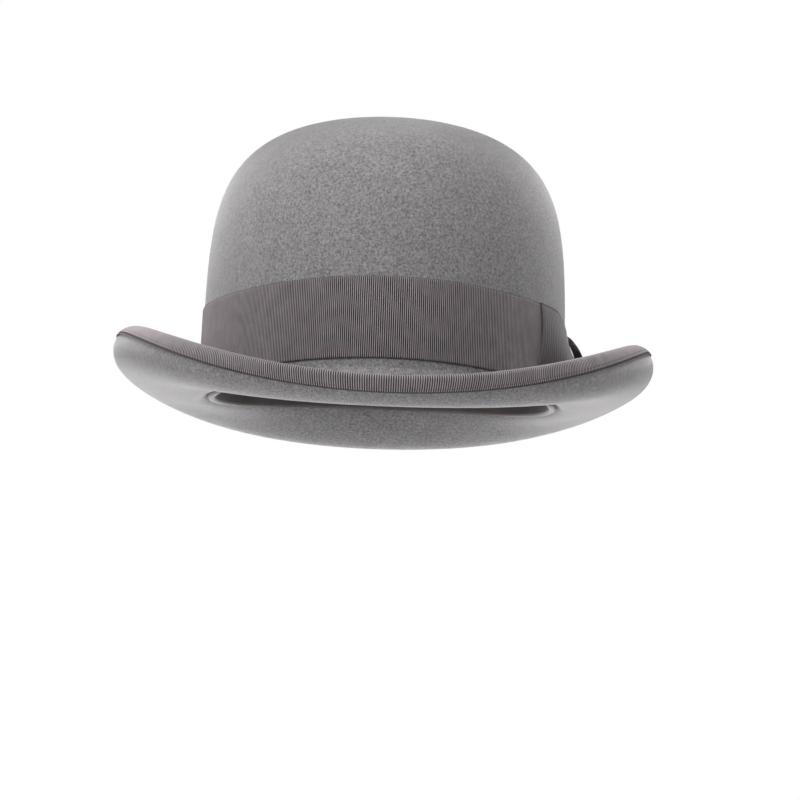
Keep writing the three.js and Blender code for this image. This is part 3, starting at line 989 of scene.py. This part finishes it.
def reed_cord():
    section = arc(-REED_DROP, REED_DEPTH, REED_RADIUS, 0, TURN, 10)[:-1]
    return ring("reed_cord", section, wall_point, 240)


def seam_bow():
    """The small flat bow over the foot of the sweatband's seam."""
    columns, rows = 96, 8

    def loop(column, row):
        turn = column / columns * TURN
        across = row / rows * 2 - 1
        along = np.cos(turn)
        reach = np.abs(along)
        height = mix(1.5 * MM, 3.8 * MM, smooth(reach * 1.1))
        rise = SEAM_BOW_RISE + across * height
        off = 0.5 * MM + (0.75 + 0.55 * (1 - reach**2)) * MM * (1 + np.sin(turn)) * 0.9
        off = off + 0.15 * MM * np.cos(across * TURN * 1.5) * (1 - reach)
        return wall_point(BACK + 0.125 * along, rise, leaf_face(rise) + off)

    loops = laid("seam_bow_loops", columns, rows, loop, lambda c, r: (c * 0.5, r / rows * 8 * MM))
    thick(loops, SEAM_BOW_RIBBON)
    strap_columns, strap_rows = 24, 4

    def strap(column, row):
        turn = column / strap_columns * math.pi
        across = row / strap_rows * 2 - 1
        rise = SEAM_BOW_RISE + 2.4 * MM * np.cos(turn)
        off = 0.3 * MM + 3.3 * MM * np.sin(turn) ** 0.7
        return wall_point(BACK + 0.02 * across, rise, leaf_face(rise) + off)

    def strap_cloth(column, row):
        return column * 0.6, row / strap_rows * 4 * MM

    knot = laid("seam_bow_knot", strap_columns, strap_rows, strap, strap_cloth)
    thick(knot, SEAM_BOW_RIBBON)
    return joined("seam_bow", [loops, knot])


def size_tab():
    """A blank woven tab, glued on the leather beside the back seam."""
    columns, rows = 30, 16

    def spot(column, row):
        along = column / columns * 2 - 1
        across = row / rows * 2 - 1
        rise = LABEL_RISE + across * LABEL_HALF_HEIGHT
        curl = 0.25 * MM * (along**4 + across**4)
        phi = BACK + LABEL_ANGLE + LABEL_HALF_ANGLE * along
        return wall_point(phi, rise, leaf_face(rise) + 0.35 * MM + curl)

    def cloth(column, row):
        return column / columns, row / rows * 2 * LABEL_HALF_HEIGHT

    return thick(laid("size_tab", columns, rows, spot, cloth), LABEL)


# ---- Lining -----------------------------------------------------------------------------------


def lining_point(phi, row, depth):
    foot = (foot_height(phi) + LINING_FOOT - CROWN_FOOT) / (CROWN_TOP - CROWN_FOOT)
    free = smooth((row - LINING_FREE) / (1 - LINING_FREE))
    inset = mix(FELT + 2 * REST, LINING_TOP_INSET, free)
    return crown_point(phi, mix(foot, LINING_TOP, row), inset + depth)


def gathers(turn, count, spread):
    """Uneven pleats round the lining, from -1 to 1."""
    wander = spread * (np.sin(turn * 5 + 1) + 0.7 * np.sin(turn * 11 + 2) + 0.5 * np.sin(turn * 23))
    return np.cos(turn * count + wander) * (0.75 + 0.25 * np.sin(turn * 7 + 0.5))


LINING_COLUMNS = 720
TIP_COLUMNS = 480
SIDE_PLEATS = 84
TIP_PLEATS = 60


def lining_side_satin():
    up = list(np.linspace(0, 1, 33))
    section = [(row, 0) for row in up] + [(row, SATIN) for row in reversed(up)]

    def gathered(column, row, at, depth):
        turn = column * TURN / LINING_COLUMNS
        puffed = smooth((at - 0.5) / 0.5) * (0.45 + 0.55 * smooth((at - 0.7) / 0.3))
        pleat = gathers(turn, SIDE_PLEATS, 0.8) * MM * puffed
        loose = smooth((at - 0.35) / 0.3) * (1 - smooth((at - 0.85) / 0.15))
        sag = 0.7 * MM * np.sin(turn * 9 + at * 7) * loose
        return at, depth + pleat + sag

    columns = LINING_COLUMNS
    return ring("lining_side_satin", section, lining_point, columns, columns, None, gathered)


def tip_point(phi, part, below):
    """A point on the lining's tip: part is 0 in its middle and 1 at its seam."""
    seam = crown_point(phi, np.full(np.shape(phi), LINING_TOP), TIP_INSET)
    rise = TIP_SAG * (1 - part * part)
    return points(seam[..., 0] * part, seam[..., 1] * part, seam[..., 2] + rise - below)


def lining_tip_satin():
    across = list(np.linspace(0, 1, 25))
    section = [(part, 0) for part in across] + [(part, SATIN) for part in reversed(across)]

    def puckered(column, row, part, below):
        turn = column * TURN / TIP_COLUMNS
        pucker = gathers(turn, TIP_PLEATS, 0.6) * 0.22 * MM * smooth((part - 0.8) / 0.2)
        return part, below + pucker

    return ring("lining_tip_satin", section, tip_point, TIP_COLUMNS, TIP_COLUMNS, None, puckered)


def lining_cord():
    """The piping in the seam: satin wrapped round a twisted cord."""
    columns, columns_per_twist = 900, 8
    below = SATIN + 0.1 * MM + PIPING_RADIUS
    seam = crown_point(0.0, LINING_TOP, TIP_INSET)[0]
    inward = 1 - (PIPING_RADIUS + LINING_SLACK) / seam
    section = arc(0, 0, PIPING_RADIUS, 0, TURN, 12)[:-1]
    section = [(inward + x / seam, below + y) for x, y in section]

    def twisted(column, row, part, drop):
        x, y = (part - inward) * seam, drop - below
        swell = 1 + 0.1 * np.cos(2 * np.arctan2(y, x) + column * TURN / columns_per_twist)
        return inward + x * swell / seam, below + y * swell

    return ring("lining_cord", section, tip_point, columns, columns, None, twisted)


def clear_shield():
    across = list(np.linspace(0, SHIELD_SIZE, 13))
    top = SATIN + LINING_SLACK
    section = [(part, top) for part in across]
    section += [(part, top + SHIELD) for part in reversed(across)]
    return ring("clear_shield", section, tip_point, 144)


# ---- The hat ----------------------------------------------------------------------------------


def fitted(piece, paint, slot, *nodes):
    """Gives a piece its finish and puts it on the hat's body, in place of its CAD solid."""
    piece.data.materials.clear()
    piece.data.materials.append(paint)
    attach(piece, "root")
    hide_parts(*nodes)
    return piece


# The band, binding and seam bow ribbon, with full painted shade in its grooves.
ribbon = grosgrain("grosgrain_ribbon", 1.0, 0.34)
# Painted shade: the bow and knot are the band's own ribbon, given a darker copy of its paint with weaker
# groove shade to match how they are lit.
bow_shaded_copy_paint = grosgrain("bow_grosgrain_painted_shade", 0.4, 0.14)
thread = sewing_thread()
satin = lining_satin_paint()

felt = fitted(felt_shell(), wool_felt(), "felt", "felt_body")
binding = fitted(binding_ribbon(), ribbon, "ribbon", "brim_binding")
fitted(binding_stitches("binding_stitches_upper", -1), thread, "thread", "binding_stitch_top")
fitted(binding_stitches("binding_stitches_under", 1), thread, "thread", "binding_stitch_under")
band = fitted(band_ribbon(), ribbon, "ribbon", "hat_band")
bow = fitted(bow_ribbon(), bow_shaded_copy_paint, "ribbon", "bow_loops")
knot = fitted(bow_knot_ribbon(), bow_shaded_copy_paint, "ribbon", "bow_knot")
fitted(sweatband_leather(), sweatband_leather_paint(), "sweatband_leather", "sweatband")
fitted(reed_cord(), reed_plastic(), "reed", "sweatband_reed")
fitted(sweatband_stitches(), thread, "thread", "sweatband_stitch")
tape = fitted(reed_tape_ribbon(), cotton_tape(), "tape", "reed_tape")
fitted(seam_bow(), ribbon, "ribbon", "sweatband_bow")
fitted(size_tab(), woven_label(), "label", "size_label")
side = fitted(lining_side_satin(), satin, "lining_satin", "lining_side")
tip = fitted(lining_tip_satin(), satin, "lining_satin", "lining_tip")
fitted(lining_cord(), corded_satin(), "lining_piping", "lining_piping")
fitted(clear_shield(), clear_sheet(), "tip_shield", "tip_shield")

# Works out the lengths round the brim's edge and round the band's middle; the results are not kept.
edge_length()
band_length()

# ---- Studio -----------------------------------------------------------------------------------

CAMERA_DISTANCE = 1500 * MM
CAMERA_ASIDE = 9.22 * MM
CAMERA_DROP = 15.24 * MM
CAMERA_TURN = 0.028
CAMERA_TILT = -0.090
CAMERA_ROLL = 0.0355
CAMERA_LENS = 140.4
FLOOR_DROP = 450 * MM
FLOOR_RADIUS = 1600 * MM


def add_camera():
    """A long lens, a little below the brim, in front of the hat."""
    turned = (
        Matrix.Rotation(CAMERA_ROLL, 3, "Y")
        @ Matrix.Rotation(CAMERA_TILT, 3, "X")
        @ Matrix.Rotation(CAMERA_TURN, 3, "Z")
    )
    back = turned.transposed()
    place = -(back @ Vector((-CAMERA_ASIDE, CAMERA_DISTANCE, -CAMERA_DROP))) + Vector((0, 0, LIFT))
    axes = Matrix((back.col[0], back.col[2], -back.col[1])).transposed()
    data = bpy.data.cameras.new("camera")
    data.lens = CAMERA_LENS
    camera = bpy.data.objects.new("camera", data)
    bpy.context.collection.objects.link(camera)
    camera.matrix_world = Matrix.Translation(place) @ axes.to_4x4()
    bpy.context.scene.camera = camera


def add_light(name, place, size, power):
    """A square soft light that shines at the middle of the crown."""
    data = bpy.data.lights.new(name, "AREA")
    data.size = size
    data.energy = power
    light = bpy.data.objects.new(name, data)
    bpy.context.collection.objects.link(light)
    light.location = place
    aim = Vector((0, 0, 0.06)) - Vector(place)
    light.rotation_euler = aim.to_track_quat("-Z", "Y").to_euler()


def add_surroundings(seen, light):
    """A white room: `seen` is how bright it looks, and `light` how much it lights the hat."""
    world = bpy.data.worlds.new("white_room")
    world.use_nodes = True
    tree = world.node_tree
    tree.nodes.clear()
    path = tree.nodes.new("ShaderNodeLightPath")
    level = tree.nodes.new("ShaderNodeMapRange")
    level.inputs["To Min"].default_value = light
    level.inputs["To Max"].default_value = seen
    shade = tree.nodes.new("ShaderNodeBackground")
    shade.inputs["Color"].default_value = (1, 1, 1, 1)
    out = tree.nodes.new("ShaderNodeOutputWorld")
    tree.links.new(path.outputs["Is Camera Ray"], level.inputs["Value"])
    tree.links.new(level.outputs["Result"], shade.inputs["Strength"])
    tree.links.new(shade.outputs["Background"], out.inputs["Surface"])
    bpy.context.scene.world = world


def pale_floor():
    paint = Paint("pale_floor")
    dust = paint.grain(paint.place(), 0.05, 3.0)
    shader = paint.node(
        "ShaderNodeBsdfPrincipled",
        {},
        {
            "Base Color": paint.colours(0.5 + dust * 0.3, (0.84, 0.84, 0.84, 1), (0.9, 0.9, 0.9, 1)),
            "Roughness": 0.8,
        },
    )
    # Seen from underneath, the floor is clear, so that the hat can be looked at from below.
    clear = paint.node("ShaderNodeBsdfTransparent", {}, {})
    under = paint.node("ShaderNodeNewGeometry", {}, {}, "Backfacing")
    both = paint.node("ShaderNodeMixShader", {}, {0: under, 1: shader, 2: clear})
    paint.node("ShaderNodeOutputMaterial", {}, {"Surface": both})
    return paint.material


def add_floor():
    deselect()
    place = (0, 0, -FLOOR_DROP)
    bpy.ops.mesh.primitive_circle_add(vertices=96, radius=FLOOR_RADIUS, fill_type="NGON", location=place)
    floor = bpy.context.object
    floor.name = "floor"
    bpy.ops.object.transform_apply(location=True, rotation=True, scale=True)
    floor.data.materials.append(pale_floor())


add_camera()
add_surroundings(seen=1.0, light=0.25)
add_light("left_light", (-1.8, -0.75, 0.55), 1.0, 17)
add_light("right_light", (1.8, -0.6, 0.5), 1.0, 2)
add_light("front_light", (0.0, -1.5, 1.4), 0.8, 28)
add_light("top_light", (-0.3, -0.2, 1.6), 1.0, 20)
add_light("right_rim_light", (1.1, 1.4, 0.4), 0.9, 5)
add_light("low_back_light", (0, 1.3, -0.38), 1.4, 60)
add_floor()
bpy.context.scene.view_settings.view_transform = "Standard"
